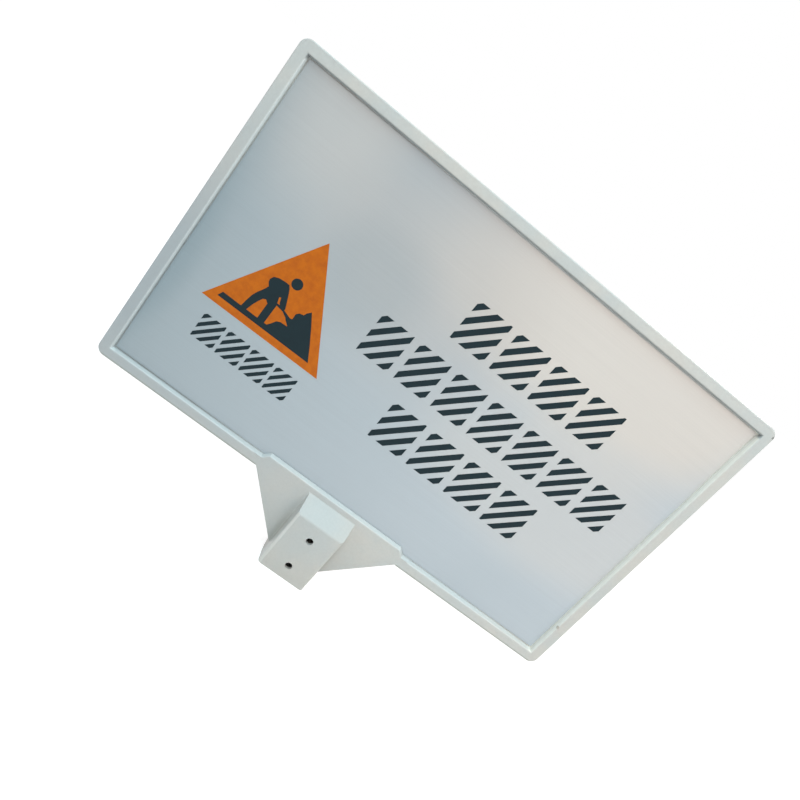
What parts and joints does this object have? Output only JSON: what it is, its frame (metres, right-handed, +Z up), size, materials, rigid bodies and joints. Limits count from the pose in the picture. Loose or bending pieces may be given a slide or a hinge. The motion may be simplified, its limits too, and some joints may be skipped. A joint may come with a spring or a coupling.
{
  "type": "warning sign",
  "caption": "Moulded composite sign board with a raised rim, a recessed face sheet and a drafted post socket on a tapering flange, cross-bolted to a square post.",
  "frame": {"origin": "centre of the post socket's mouth, where the post enters", "axes": "+Z up along the post, front of the sign faces -Y, +X to the right seen from the front"},
  "size_m": [0.64, 0.062, 0.487],
  "materials": {
    "moulding": "satin, moulded glass-filled polyester",
    "face": "satin grey film on sheet",
    "print_orange": "orange film",
    "print_dark": "dark blue-grey ink"
  },
  "bodies": {
    "root": {"sign_board": "moulding", "face_sheet": "face"}
  },
  "joints": []
}
